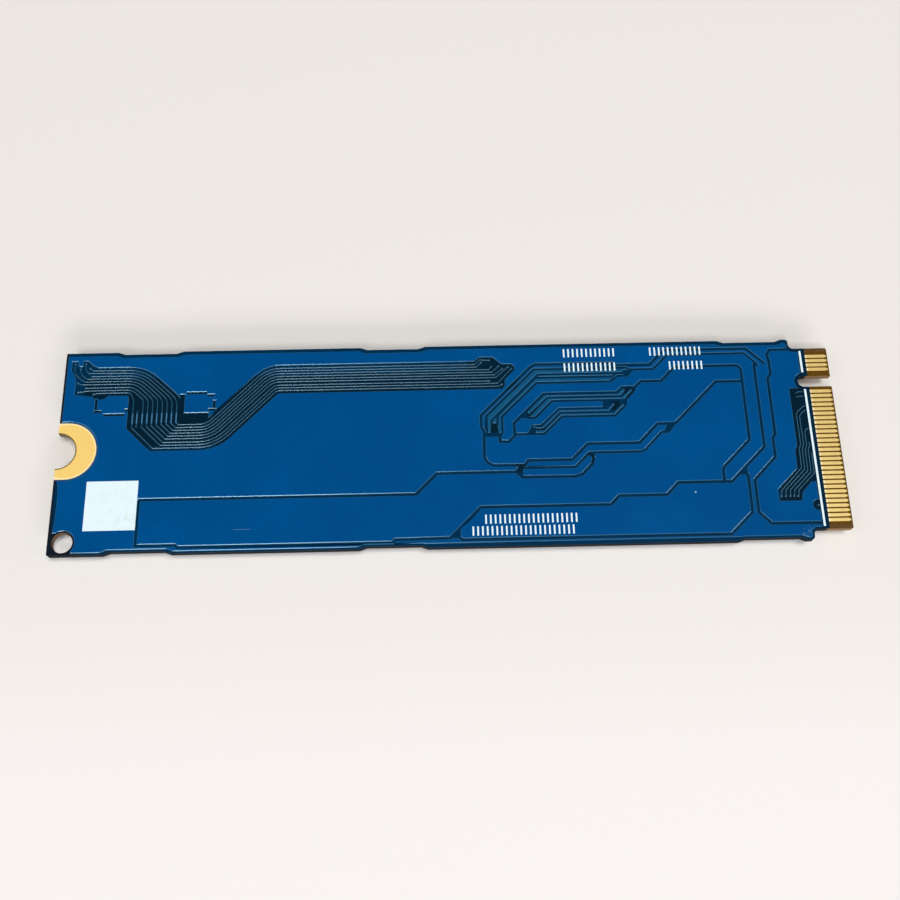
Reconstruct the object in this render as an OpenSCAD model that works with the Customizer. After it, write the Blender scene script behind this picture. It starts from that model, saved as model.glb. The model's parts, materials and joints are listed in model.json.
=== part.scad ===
// Solid-state drive card: an 80 by 22 mm circuit board with its component side down.
// The bare side, with its etched copper and gold edge contacts, looks up.

/* [Board] */
// Length from the screw end to the contact edge
board_l = 80; // [78:0.5:110]
// Width of the card
board_w = 22; // [21.5:0.1:26]
// Thickness over the gold contacts
board_t = 0.8; // [0.6:0.05:1.2]
// Thickness of the outer copper with its plating
foil_t = 0.04; // [0.02:0.005:0.08]
// Thickness of the solder mask over copper
coat_t = 0.02; // [0.01:0.005:0.04]
// Thickness of the solder mask where it lies on bare laminate
film_t = 0.02; // [0.01:0.005:0.035]
// Thickness of the white legend ink
ink_t = 0.015; // [0.01:0.005:0.04]
// Radius of the card's outer corners
corner_r = 0.2; // [0.05:0.05:0.4]
// How far the copper stays back from the card's edge
pull_back = 0.2; // [0.1:0.05:0.3]
// How much further it stays back from the long edge away from the locating hole
far_pull_back = 0.15; // [0:0.05:0.2]
// How far the copper stays back from the key slot
key_pull_back = 0.35; // [0.1:0.05:0.5]

/* [Edge recesses] */
// Length of each break-off recess at the card's edge
recess_mouth = 6.8; // [6:0.1:8]
// Length of the recess floor
recess_floor = 5.4; // [4:0.1:5.8]
// Depth of each recess
recess_depth = 0.25; // [0.1:0.05:0.4]

/* [Edge connector] */
// Width of the tongue that enters the socket
tongue_w = 19.85; // [19.6:0.05:20.5]
// Length of the tongue
tongue_l = 4; // [3.8:0.1:4.6]
// Radius between tongue and shoulder
shoulder_r = 0.5; // [0.2:0.05:0.8]
// Radius of the shoulder's outer corners
shoulder_corner_r = 0.35; // [0.1:0.05:0.5]
// Radius of the tongue's own corners
tip_r = 0.2; // [0.05:0.05:0.3]
// Length of the lead-in bevel at the contact edge
bevel_l = 0.14; // [0.05:0.01:0.14]
// Depth of the lead-in bevel into each face
bevel_h = 0.1; // [0.05:0.01:0.2]
// Width of the key slot
key_w = 1.2; // [1:0.05:1.3]
// Length of the key slot from the contact edge
key_l = 3.5; // [3:0.1:3.7]
// Distance between neighbouring contacts on one face
contact_pitch = 0.5; // [0.4:0.01:0.52]
// Width of one gold contact
contact_w = 0.34; // [0.25:0.01:0.4]
// Width of a contact at its narrowed tip
contact_tip_w = 0.14; // [0.1:0.01:0.25]
// Length of the narrowed tip
contact_tip_l = 0.25; // [0.1:0.05:0.4]
// Length of one gold contact
contact_l = 2.25; // [2:0.05:2.4]
// Distance from the contact edge to a contact
contact_setback = 0.15; // [0.15:0.01:0.3]

/* [Screw end] */
// Radius of the plated half hole for the screw
screw_r = 1.9; // [1.7:0.05:2.1]
// Thickness of the plating in the half hole
plating_t = 0.03; // [0.02:0.01:0.06]
// Radius of the gold land's round end
land_r = 3.06; // [2.8:0.02:3.2]
// Distance of the round end's centre from the card's edge
land_x = 0.95; // [0.6:0.05:1.2]
// Gap between the gold land and the copper around it
land_gap = 0.16; // [0.1:0.02:0.3]
// Radius of the locating hole in the corner
locating_r = 1.05; // [0.8:0.05:1.1]
// Distance of the locating hole from the screw end
locating_x = 1.45; // [1.4:0.05:1.8]
// Distance of the locating hole from the long edge
locating_y = 1.3; // [1.3:0.05:1.6]

/* [Routing] */
// Width of the gaps between large copper areas
gap_w = 0.25; // [0.15:0.01:0.34]
// Width of the gaps between closely set lines
fine_gap_w = 0.2; // [0.12:0.01:0.22]
// Number of lines in the memory bus
bus_count = 9; // [6:1:9]
// Width of one bus line
bus_w = 0.14; // [0.1:0.01:0.18]
// Distance between neighbouring bus lines
bus_pitch = 0.31; // [0.28:0.005:0.32]
// Extra room between the two halves of the bus
bus_split = 0.07; // [0:0.01:0.1]
// Distance between bus lines where they run across the card
drop_pitch = 0.5; // [0.45:0.01:0.51]
// Radius of the covered holes at the ends of lines
via_r = 0.13; // [0.1:0.01:0.15]
// Radius of the round clearing beside the contacts
clearing_r = 0.55; // [0.4:0.05:0.6]
// Width of one line fanning out to the contacts
fan_w = 0.11; // [0.08:0.01:0.12]

/* [Legend] */
// Side of the white marking square
square_w = 5.2; // [4:0.1:5.2]
// Width of the white line beside the contacts
border_w = 0.22; // [0.12:0.01:0.26]
// Distance of the white line from the contact edge
border_setback = 2.99; // [2.9:0.01:3.1]
// How far the white line runs on past the outermost contacts
border_past = 0.38; // [0:0.02:0.5]
// Distance from the white line back to the copper
border_clear = 0.1; // [0.05:0.01:0.15]
// Height of one tally mark
tally_h = 0.95; // [0.5:0.05:1]
// Width of one tally mark
tally_w = 0.17; // [0.1:0.01:0.2]
// Distance between neighbouring tally marks
tally_pitch = 0.475; // [0.4:0.005:0.5]
// Stroke of the outlines printed around packages
outline_w = 0.15; // [0.1:0.01:0.2]
// Radius of the marks beside a package's first contact
pin_mark_r = 0.3; // [0.2:0.02:0.35]
// Depth of the mark sunk in a package
pin_mark_depth = 0.05; // [0.02:0.01:0.1]

/* [Component side] */
// Height of the tallest parts under the laminate
component_h = 1.45; // [1.3:0.05:1.6]
// Thickness of the solder mask on the component side
under_mask_t = 0.03; // [0.01:0.005:0.035]
// Width of the opening that the mask leaves around a land
mask_gap = 0.05; // [0.02:0.01:0.08]
// How far a land reaches out from under its part
land_toe = 0.2; // [0.1:0.02:0.3]
// Height of the solder balls under the packages
ball_h = 0.22; // [0.15:0.01:0.3]
// Radius of one solder ball
ball_r = 0.22; // [0.15:0.01:0.25]
// Thickness of the package substrates
substrate_t = 0.2; // [0.1:0.02:0.3]

/* [Flash memory packages] */
// Size of a flash package along the card
flash_l = 12; // [11:0.1:13]
// Size of a flash package across the card
flash_w = 18; // [17.5:0.1:18.4]
// Distance between ball centres
flash_pitch = 1; // [0.9:0.05:1.05]
// Ball columns in each of the two fields
flash_cols = 4; // [2:1:4]
// Ball rows
flash_rows = 16; // [10:1:16]
// Distance between the two ball fields
flash_field_gap = 2; // [1.5:0.1:2.5]

/* [Controller package] */
// Side of the square controller package
controller_w = 11; // [10:0.1:11.4]
// Height of the controller's moulding
controller_h = 0.7; // [0.5:0.05:0.75]
// Distance between ball centres
controller_pitch = 0.8; // [0.7:0.05:0.8]
// Ball rows and columns
controller_rows = 12; // [8:1:12]

/* [Power supply] */
// Side of the square power circuit
power_w = 5; // [4:0.1:5.2]
// Height of its moulding above the leads
power_h = 0.7; // [0.5:0.05:1]
// Distance between its leads
power_pitch = 0.5; // [0.4:0.05:0.5]
// Leads on each side
power_leads = 8; // [6:1:8]
// Length of an inductor
inductor_l = 3; // [2.5:0.1:3.4]
// Width of an inductor
inductor_w = 3; // [2.5:0.1:3.2]
// Thickness of an inductor's terminals
inductor_end_t = 0.08; // [0.05:0.01:0.12]
// Side of the square load switch
switch_w = 2; // [1.8:0.1:2.2]
// Height of the load switch above its leads
switch_h = 0.4; // [0.3:0.05:0.8]
// Leads on each side of the load switch
switch_leads = 3; // [2:1:4]

/* [Small parts] */
// Length, width and height of the input fuse
fuse_size = [2, 1.25, 0.6]; // [0.5:0.05:3]
// Length, width and height of a bulk capacitor
bulk_size = [1.6, 0.8, 0.8]; // [0.5:0.05:2]
// Length, width and height of a small capacitor
small_size = [1, 0.5, 0.5]; // [0.3:0.05:1.2]
// Length, width and height of a coupling capacitor
coupling_size = [0.6, 0.3, 0.3]; // [0.2:0.05:0.8]
// Length, width and height of a resistor
resistor_size = [1, 0.5, 0.35]; // [0.3:0.05:1.2]
// Length of the metal end of a chip part, as a share of its length
chip_end_share = 0.22; // [0.15:0.01:0.3]
// Length, width and height of the boot memory above its leads
boot_size = [3, 2, 0.45]; // [0.3:0.05:3.2]
// Length, width and height of the crystal's ceramic base
crystal_size = [2.5, 2, 0.4]; // [0.3:0.05:3]
// Leads on each side of the boot memory
boot_leads = 4; // [3:1:4]
// Thickness of the crystal's metal lid
lid_t = 0.1; // [0.05:0.01:0.2]
// Margin between the crystal's lid and the edge of its base
lid_margin = 0.15; // [0.1:0.01:0.3]
// Height of the leads under a leadless package
lead_h = 0.12; // [0.08:0.01:0.2]
// Width of one lead
lead_w = 0.25; // [0.15:0.01:0.3]
// Length of one lead
lead_l = 0.4; // [0.3:0.01:0.5]
// Radius of a test point
test_r = 0.45; // [0.3:0.05:0.5]

/* [Hidden] */

// Colours
laminate_colour = [0.36, 0.26, 0.17];
film_colour = [0.01, 0.09, 0.17];
copper_colour = [0, 0.29, 0.53];
line_colour = [0.14, 0.37, 0.47];
gold_colour = [0.9, 0.72, 0.36];
ink_colour = [0.9, 0.95, 0.97];
moulding_colour = [0.09, 0.09, 0.1];
substrate_colour = [0.08, 0.2, 0.12];
tin_colour = [0.75, 0.76, 0.78];
ceramic_colour = [0.55, 0.42, 0.3];
core_colour = [0.25, 0.25, 0.27];

// Overrun of every cut past the faces that it opens
over = 1;
// Segments in each rounded corner of a line
bend_steps = 5;
$fn = 48;

laminate_t = board_t - 2 * foil_t;
under_z = component_h;
bare_z = under_z + laminate_t;
copper_top = foil_t + coat_t;
mould_depth = under_mask_t + ball_h + substrate_t;
inductor_h = component_h - foil_t - inductor_end_t;
power_size = [power_w, power_w];
switch_size = [switch_w, switch_w];
mid_y = board_w / 2;
shoulder_x = board_l - tongue_l;
tongue_y = (board_w - tongue_w) / 2;
mask_edge_x = board_l - contact_setback - contact_l;
copper_edge_x = board_l - border_setback - border_clear;
locating = [locating_x, locating_y];

// Contacts are counted along the edge, odd below and even above; the key takes eight of them
pin_count = 75;
key_first = 59;
key_last = 66;
function pin_y(pin) = mid_y + (pin - (pin_count + 1) / 2) * contact_pitch / 2;
key_y = pin_y((key_first + key_last) / 2);

// Places on the card are shares of the length from the screw end to where the copper stops
// beside the contacts, and shares of the card's width
length_shares = 76.91;
width_shares = 22;
function at(s) = [s[0] * copper_edge_x / length_shares, s[1] * board_w / width_shares];
function places(shares) = [for (s = shares) at(s)];
recess_shares = [8.85, 34.25, 71.85];

// Gaps between the large copper areas
area_gap_shares = [
    [[8.7, 5.6], [36.5, 5.6], [38.65, 7.77], [46.9, 7.77]],
    [[8.7, 5.6], [8.7, 0.83], [12.6, 0.83], [12.85, 0.6], [34.1, 0.61], [34.4, 0.9],
     [39.85, 0.96], [42.95, 4.09], [56, 4.09], [56.9, 5], [61.7, 5], [62.95, 6.27],
     [68.4, 6.27], [72.12, 9.95], [72.12, 19.2]],
    [[40.1, 1.05], [40.7, 1.1], [41, 0.75], [67.75, 0.75], [70.1, 3], [70.1, 6.9], [69.6, 7.4]],
    [[77.2, 1.62], [76.6, 1.73], [71.9, 1.75], [70.72, 2.95], [70.72, 6.4], [73.1, 8.8], [73.1, 10.9],
     [73.38, 11.3], [73.38, 17.6], [73.75, 18.1], [73.75, 19.5], [73.6, 20.3], [73.95, 20.85],
     [76.6, 20.85]],
    [[46.7, 12], [46.65, 13.1], [47.1, 13.55], [49.9, 16.3], [57.5, 16.3], [58.1, 16.86],
     [59.4, 16.86], [60.1, 17.52], [62.2, 17.52], [63.6, 18.95], [64, 19.12], [70.3, 19.12],
     [70.68, 18.75], [70.68, 10.75], [67.85, 7.95], [67.65, 7.6], [67.65, 6.3]],
    [[62.75, 12.4], [63.4, 12.85], [67.9, 17.31], [70.6, 17.31]],
    [[43.55, 12.2], [43.5, 9.45], [43.75, 8.9], [44.35, 8.5], [47.6, 8.48], [47.95, 8.97],
     [52.4, 8.97], [54.1, 10.65], [59.4, 10.65], [61.4, 12.71], [63.3, 12.71]],
    [[46.7, 7.75], [47.25, 7.18], [52.7, 7.15], [53.4, 7.4], [54.45, 8.5], [54.6, 9.1],
     [54.4, 9.6]],
    [[43.55, 12.2], [43.3, 12.85], [43.3, 14.05], [48.7, 19.45], [49.15, 19.68], [57.2, 19.68],
     [57.45, 19.42], [61.15, 19.42], [62.8, 21.05], [71.45, 21.05], [73.25, 19.3]],
    [[45.15, 12], [45.15, 11.1], [46.05, 11.05], [46.7, 11.75], [46.7, 12.1]]];
// Gaps between closely set lines
line_gap_shares = [
    [[47.25, 7.2], [47.25, 8.4]],
    [[47.2, 8.17], [52.7, 8.17], [54.2, 9.69], [59.5, 9.7], [59.95, 9.9], [61.75, 11.78],
     [62.45, 11.8], [62.85, 12.5]],
    [[43.85, 11.9], [43.85, 13.95], [49, 19.12], [58.7, 19.12], [58.95, 18.9], [61.5, 18.9],
     [63.1, 20.52], [71.2, 20.52], [72.3, 19.4]],
    [[44.35, 12.9], [44.4, 13.5], [49.4, 18.52], [58.4, 18.52]],
    [[44.95, 12.9], [45, 14], [49.1, 18.15], [57.2, 18.15], [57.7, 18.5]],
    [[45.15, 11.6], [45.45, 12.1], [45.45, 13.85], [49.2, 17.56], [56.9, 17.58], [57.7, 18.2],
     [58.7, 18.2], [59.35, 18.9]],
    [[48.1, 13.75], [50.25, 15.88], [58, 15.88]],
    [[48, 13.62], [48.9, 13.65], [50.7, 15.48], [58.3, 15.46]],
    [[48.7, 12.72], [49.45, 12.72], [51.4, 14.58], [56.2, 14.58]],
    [[48.7, 12.35], [49.7, 12.35], [51.5, 14.14], [56.8, 14.14]],
    [[46.75, 11.85], [49.75, 11.85], [51.65, 13.72], [57.15, 13.72], [58.35, 14.9],
     [58.4, 15.45]],
    [[3.55, 15.5], [3.55, 16.7]],
    [[3.4, 15.32], [4.1, 15.32]],
    [[4.4, 14.92], [6.5, 14.92]],
    [[6.55, 15.42], [6.95, 15.42]],
    [[12.9, 17.2], [14.9, 17.2]],
    [[15, 16.92], [15.7, 16.92]],
    [[15.75, 16.3], [15.75, 15.5]],
    [[15.2, 15.3], [15.95, 15.3]]];
// Areas with no copper
void_shares = [
    [[0.68, 21.05], [1.22, 21.05], [1.3, 20.6], [1.5, 20.42], [1.82, 20.45], [1.9, 21.08],
     [2.35, 21.05], [2.9, 20.52], [3.4, 20.28], [3.4, 17], [1.25, 17.25], [1.25, 18.9],
     [1.08, 19.4], [0.7, 20]],
    [[2.8, 17.3], [3.35, 16.75], [4.3, 16.75], [4.8, 17.2]],
    [[42.6, 16.98], [45.6, 17], [45.85, 17.3], [45.9, 18.05], [46.95, 19.15], [46.9, 19.55],
     [46.6, 19.78], [45.6, 19.8], [44.7, 20.62], [43.3, 20.62], [42.75, 20.12], [42.6, 20.12]],
    [[12.2, 13.85], [15.2, 13.95], [15.2, 14.95], [12.65, 14.95], [12.65, 17.05], [12.2, 17.05]],
    [[43.5, 11.65], [45.05, 11.65], [45.05, 12.1], [44.9, 13.1], [44.35, 13.1], [44.2, 12.1],
     [43.6, 12.1]],
    [[47.25, 13.65], [48.3, 13.62], [48.3, 13.95], [48.1, 14.4], [48, 14.45]],
    [[48, 11.9], [48.85, 11.9], [48.85, 12.5], [48.5, 12.75]],
    [[55.95, 15.45], [55.95, 14.48], [56.42, 14.48], [57.02, 15.16], [57.2, 15.02], [56.62, 14.38],
     [56.66, 14.2], [56.75, 14.05], [57, 14.05], [58, 15.06], [58.14, 14.93], [58.22, 14.86],
     [58.38, 14.95], [58.4, 15.45]],
    [[58.2, 16.95], [58.2, 16.72], [58.38, 16.56], [57.84, 15.96], [57.9, 15.8], [58, 15.78],
     [58.97, 16.7], [59.14, 16.54], [58.2, 15.57], [58.1, 15.45], [58.42, 15.42],
     [59.52, 16.6], [59.5, 16.95]],
    [[58.4, 18.1], [58.7, 18.1], [59.3, 18.85], [58.3, 18.85]],
    [[46.5, 7.75], [47.3, 7.1], [47.3, 8.2], [47.7, 8.45], [47.1, 8.5]],
    [[54.05, 9.5], [54.6, 9.1], [54.85, 9.7], [54.3, 9.75]],
    [[62, 11.75], [62.6, 11.8], [63.35, 12.75], [62.5, 12.8]],
    [[69.2, 7], [70.1, 7], [70.1, 7.95]],
    [[39.95, 1], [40.85, 0.95], [40.85, 1.75]],
    [[72.05, 18.9], [72.6, 19.1], [72.3, 19.6], [72.05, 19.6]],
    [[75.5, 16.35], [77.2, 16.35], [77.2, 6.1], [76.4, 6.1], [75.35, 4.95], [75.2, 4.1],
     [72.95, 4.1], [72.95, 5.3], [75.2, 7.5], [75.25, 9.6], [75.5, 9.95]],
    [[37, 0], [68.8, 0], [68.8, 0.4], [37, 0.4]],
    [[0, 2.3], [0.35, 2.3], [0.5, 3.6], [0.52, 6.4], [0.34, 8], [0, 8]],
    [[0, 0], [2.35, 0], [2.35, 1.3], [1.45, 2.3], [0, 2.3]]];
// Lines that fan out from the contacts
fan_shares = [
    [[76.85, 14.42], [76.05, 13.8], [75.85, 13.45], [75.85, 10.05], [75.65, 9.7], [75.6, 7.55],
     [73.3, 5.2], [73.2, 4.6]],
    [[76.85, 13.93], [76.35, 13.5], [76.15, 13.2], [76.15, 10], [75.95, 9.65], [75.9, 7.4],
     [73.7, 5.2], [73.65, 4.6]],
    [[76.85, 11.9], [76.6, 11.7], [76.45, 11.4], [76.45, 9.95], [76.25, 9.6], [76.2, 7.25],
     [74.15, 5.2], [74.1, 4.6]],
    [[76.75, 10.4], [76.75, 9.9], [76.55, 9.55], [76.5, 7.1], [74.6, 5.2], [74.5, 4.6]],
    [[76.85, 9.2], [76.8, 6.95], [75.05, 5.2], [74.9, 4.6]],
    [[76.85, 15.95], [76.35, 15.95], [76.05, 15.8]],
    [[76.85, 15.45], [76.05, 15.4]]];
clearing_share = [76.82, 3.6];
fan_via_shares = [[73.2, 4.6], [73.65, 4.6], [74.1, 4.6], [74.5, 4.6], [74.9, 4.6],
                  clearing_share];

// The bus: a first run along the card, a run across it, an S-shaped climb and a long last run
bus_start_x_share = 3.3;
bus_first_y_share = 17.4;
bus_bend_x_share = 7;
bus_drop_x_share = 7.4;
bus_drop_y_share = 16.55;
bus_turn_y_share = 13.45;
bus_low_y_share = 11.15;
bus_climb_share = [14.3, 15.45];
bus_crest_share = [22.5, 16.5];
bus_high_y_share = 17.3;
bus_end_x_share = 42.7;
bus_start_shares = [
    [[3.15, 17.3], [3.6, 17.39]], [[1.55, 17.56], [2.6, 17.68]], [[2.3, 18.01]],
    [[1.45, 18.6], [1.75, 18.43], [2, 18.4]],
    [[1, 20.8], [0.98, 20], [1.2, 19.5], [1.9, 18.87], [2.25, 18.72]],
    [[1.6, 20.18], [1.63, 19.88], [1.82, 19.47], [2.35, 19.04]], [[2.85, 19.33]],
    [[2.1, 20.78], [2.12, 20.2], [2.45, 19.69]], [[2.6, 20.28], [2.95, 19.98]]];
bus_end_shares = [
    [[45.2, 17.3], [45.6, 17.5]], [[45.15, 17.65], [46.65, 19.3]], [[44.3, 17.92]],
    [[45, 18.3], [46.3, 19.5]], [[44.85, 18.62], [45.7, 19.3]], [[44.6, 18.93], [45.3, 19.6]],
    [[44.25, 19.22], [44.55, 19.55]], [[43, 19.55], [43.5, 20.05]],
    [[42.85, 19.85], [43.35, 20.35], [44.35, 20.3]]];
bus_stub_shares = [[7.86, 15.4], [7.86, 13.5]];

// Component side: places of the parts, and how far each is turned
flash_1_share = [12.2, 11];
flash_2_share = [27.8, 11];
controller_share = [48, 12];
power_share = [65.2, 10.8];
switch_share = [72.2, 4.4];
fuse_share = [72.2, 7.6];
boot_share = [57.6, 9];
crystal_share = [57.2, 18.2];
inductor_shares = [[62, 17.4], [66.2, 17.4], [70.4, 17.4]];
bulk_shares = [[60.4, 12], [60.4, 9.2], [69.8, 12], [69.8, 9.2]];
bulk_flat_shares = [[66, 5.9], [68.6, 5.9], [66, 4.2], [68.6, 4.2]];
small_flat_shares = [[44.4, 19.6], [47, 19.6], [49.6, 19.6], [44, 4.6], [46.6, 4.6],
                     [49.2, 4.6], [51.8, 4.6], [62, 15.1], [66.2, 15.1], [70.4, 15.1]];
small_shares = [[20, 4], [20, 7.5], [20, 11], [20, 14.5], [20, 18], [35.8, 4], [35.8, 7.5],
                [35.8, 11], [35.8, 14.5], [35.8, 18], [40.6, 8.6], [40.6, 12], [40.6, 15.4],
                [55.2, 12.4], [55.2, 14.6], [54.9, 18.2], [59.5, 18.2]];
resistor_shares = [[38.2, 6], [38.2, 9], [38.2, 12], [38.2, 15], [57, 12.8], [58.6, 12.8],
                   [62.2, 5], [63.4, 5]];
coupling_shares = [[74.8, 9.4], [74.8, 10.1], [74.8, 11.4], [74.8, 12.1], [74.8, 13.4],
                   [74.8, 14.1], [74.8, 15.4], [74.8, 16.1]];
test_shares = [[54, 2], [56, 2], [58, 2], [60, 2], [62, 2], [64, 2]];
square_share = [5.97, 5.05];
// Rows of tally marks: first mark, and how many follow
tally_row_shares = [[52.23, 20.9], [52.23, 19.25], [61.33, 20.9], [63.28, 19.25],
                    [43.43, 2.8], [42.13, 1.6]];
tally_counts = [12, 12, 12, 8, 20, 22];

// Mitred outline of a line that follows the points p with width w
function unit(v) = v / norm(v);
function edge_point(p, i, d) =
    let (last = len(p) - 1,
         a = unit(i > 0 ? p[i] - p[i - 1] : p[1] - p[0]),
         b = unit(i < last ? p[i + 1] - p[i] : p[last] - p[last - 1]),
         m = unit([-a[1] - b[1], a[0] + b[0]]))
    p[i] + m * d / (m * [-a[1], a[0]]);
function ribbon(p, w) = concat(
    [for (i = [0 : len(p) - 1]) edge_point(p, i, w / 2)],
    [for (i = [len(p) - 1 : -1 : 0]) edge_point(p, i, -w / 2)]);

// Rounds each corner of a route; cut is the straight length that the corner gives up
function bend(a, corner, b, cut) =
    let (from = corner + unit(a - corner) * cut, to = corner + unit(b - corner) * cut)
    [for (k = [0 : bend_steps])
        let (t = k / bend_steps)
        from * (1 - t) * (1 - t) + corner * 2 * t * (1 - t) + to * t * t];

// Lanes just outside the bus on each side bound the area that it has to itself
outer_lanes = [-1, bus_count];
// Distance of bus line i from the first one
function lane(i) = i * bus_pitch + (i > bus_count / 3 - 0.5 ? bus_split : 0);
// Corners of bus line i from the bend after its first run to the start of its last run
function bus_route(i) =
    let (bend_x = at([bus_bend_x_share, 0])[0] + lane(i) / 2,
         first_y = at([0, bus_first_y_share])[1] + lane(i),
         drop_x = at([bus_drop_x_share, 0])[0] + (i > 0 ? i + 1 : i) * drop_pitch,
         drop_y = at([0, bus_drop_y_share])[1],
         low_y = at([0, bus_low_y_share])[1] + lane(i),
         high_y = at([0, bus_high_y_share])[1] + lane(i),
         turn_y = at([0, bus_turn_y_share])[1] + lane(i) / 5,
         climb = at(bus_climb_share),
         crest = at(bus_crest_share),
         low_cut = (climb[1] - low_y) * tan(22.5),
         high_cut = (high_y - crest[1]) * tan(22.5),
         low = [climb[0] + low_cut, low_y],
         high = [crest[0] - high_cut, high_y],
         first = [bend_x, first_y],
         drop = [drop_x, drop_y],
         turn = [drop_x, turn_y],
         foot = [drop_x + turn_y - low_y, low_y],
         end = [at([bus_end_x_share, 0])[0], high_y])
    concat(bend([0, first_y], first, drop, norm(drop - first) / 3),
           bend(first, drop, turn, norm(drop - first) / 6),
           [turn, foot],
           bend([0, low_y], low, high, low_cut),
           bend(low, high, end, high_cut),
           [end]);

// The card's outline, drawn smaller by e all round
module recess(e) {
    mouth = recess_mouth / 2 + e;
    floor_half = recess_floor / 2 + e;
    polygon([[-mouth, -over], [-mouth, e], [-floor_half, recess_depth + e],
             [floor_half, recess_depth + e], [mouth, e], [mouth, -over]]);
}
module key_slot(e) {
    translate([board_l - key_l + key_w / 2, key_y]) {
        circle(r = key_w / 2 + e);
        translate([0, -key_w / 2 - e]) square([key_l + over, key_w + 2 * e]);
    }
}
module outline(e) {
    difference() {
        union() {
            translate([e, e]) square([shoulder_x - 2 * e, board_w - 2 * e]);
            translate([e, tongue_y + e]) square([board_l - 2 * e, tongue_w - 2 * e]);
            for (y = [tongue_y + e, board_w - tongue_y - e])
                translate([shoulder_x - e, y]) square(2 * shoulder_r, center = true);
        }
        for (side = [0, 1]) translate([0, side * board_w]) mirror([0, side]) {
            translate([shoulder_x - e + shoulder_r, tongue_y + e - shoulder_r])
                circle(r = shoulder_r);
            for (s = recess_shares) translate([at([s, 0])[0], 0]) recess(e);
            translate([shoulder_x - e, e]) mirror([1, 0]) round_corner(shoulder_corner_r);
        }
        key_slot(e);
    }
}
module round_corner(r) {
    difference() {
        translate([-over, -over]) square(r + over);
        translate([r, r]) circle(r = r);
    }
}
module screw_land_area(grow) {
    translate([land_x, mid_y]) circle(r = land_r + grow);
    translate([-over, mid_y - land_r - grow])
        square([land_x + over, 2 * (land_r + grow)]);
}

module laminate() {
    color(laminate_colour) translate([0, 0, under_z]) difference() {
        linear_extrude(laminate_t) difference() {
            outline(0);
            translate([0, mid_y]) circle(r = screw_r + plating_t);
            translate(locating) circle(r = locating_r);
            for (side = [0, 1]) translate([0, side * board_w]) mirror([0, side]) {
                round_corner(corner_r);
                translate([board_l, tongue_y]) mirror([1, 0]) round_corner(tip_r);
            }
        }
        for (face = [0, 1]) translate([board_l, 0, face * laminate_t]) mirror([0, 0, face])
            translate([0, board_w + over, 0]) rotate([90, 0, 0])
                linear_extrude(board_w + 2 * over)
                    polygon([[-bevel_l, 0], [-bevel_l, -over], [over, -over], [over, bevel_h],
                             [0, bevel_h]]);
    }
}

// Copper of the bare side, with the mask that covers it
module bus_window() {
    low = bus_route(outer_lanes[0]);
    high = bus_route(outer_lanes[1]);
    start_x = at([bus_start_x_share, 0])[0];
    polygon(concat([[start_x, low[0][1]]], low,
                   [for (i = [len(high) - 1 : -1 : 0]) high[i]], [[start_x, high[0][1]]]));
}
module bus_line(i) {
    route = concat(places(bus_start_shares[i]), bus_route(i), places(bus_end_shares[i]));
    polygon(ribbon(route, bus_w));
}
module bus_vias() {
    for (starts = bus_start_shares) translate(at(starts[0])) circle(r = via_r);
    for (ends = bus_end_shares) translate(at(ends[len(ends) - 1])) circle(r = via_r);
}
module bus_area() {
    for (i = [0 : bus_count - 1]) bus_line(i);
    polygon(ribbon(places(bus_stub_shares), bus_w));
}
module fan_area() {
    for (route = fan_shares) polygon(ribbon(places(route), fan_w));
}
module fan_vias() {
    for (s = fan_via_shares) translate(at(s)) circle(r = via_r);
}
module copper_area() {
    difference() {
        intersection() {
            outline(pull_back);
            translate([0, -far_pull_back]) outline(pull_back);
            square([copper_edge_x, board_w]);
        }
        key_slot(key_pull_back);
        screw_land_area(land_gap);
        translate(locating) circle(r = locating_r + land_gap);
        translate(at(clearing_share)) circle(r = clearing_r);
        for (route = area_gap_shares) polygon(ribbon(places(route), gap_w));
        for (route = line_gap_shares) polygon(ribbon(places(route), fine_gap_w));
        for (area = void_shares) polygon(places(area));
        bus_window();
    }
}
module mask_area() {
    difference() {
        intersection() {
            outline(0);
            square([mask_edge_x, board_w]);
        }
        screw_land_area(mask_gap);
        translate(locating) circle(r = locating_r);
        for (side = [0, 1]) translate([0, side * board_w]) mirror([0, side])
            round_corner(corner_r);
    }
}
module bare_side_mask() {
    color(film_colour) translate([0, 0, bare_z]) linear_extrude(film_t) difference() {
        mask_area();
        copper_area();
        bus_area();
        bus_vias();
        fan_area();
        fan_vias();
    }
}
module bare_side_copper() {
    color(copper_colour) translate([0, 0, bare_z]) linear_extrude(copper_top) copper_area();
}
module bus_lines() {
    color(line_colour) translate([0, 0, bare_z]) {
        linear_extrude(copper_top) bus_area();
        linear_extrude(copper_top) bus_vias();
    }
}
module fan_out_lines() {
    color(line_colour) translate([0, 0, bare_z]) {
        linear_extrude(copper_top) fan_area();
        linear_extrude(copper_top) fan_vias();
    }
}

// Gold surfaces
module contact() {
    tip_x = contact_l - contact_tip_l;
    polygon([[0, -contact_w / 2], [tip_x, -contact_w / 2], [contact_l, -contact_tip_w / 2],
             [contact_l, contact_tip_w / 2], [tip_x, contact_w / 2], [0, contact_w / 2]]);
}
module contact_row(first) {
    for (pin = [first : 2 : pin_count]) if (pin < key_first || pin > key_last)
        translate([mask_edge_x, pin_y(pin)]) contact();
}
module even_contacts() {
    color(gold_colour) translate([0, 0, bare_z]) linear_extrude(foil_t) contact_row(2);
}
module odd_contacts() {
    color(gold_colour) translate([0, 0, under_z - foil_t]) linear_extrude(foil_t)
        contact_row(1);
}
module screw_land() {
    linear_extrude(foil_t) intersection() {
        difference() {
            screw_land_area(0);
            translate([0, mid_y]) circle(r = screw_r + plating_t);
        }
        square([board_l, board_w]);
    }
}
module screw_land_upper() {
    color(gold_colour) translate([0, 0, bare_z]) screw_land();
}
module screw_land_lower() {
    color(gold_colour) translate([0, 0, under_z - foil_t]) screw_land();
}
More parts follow.
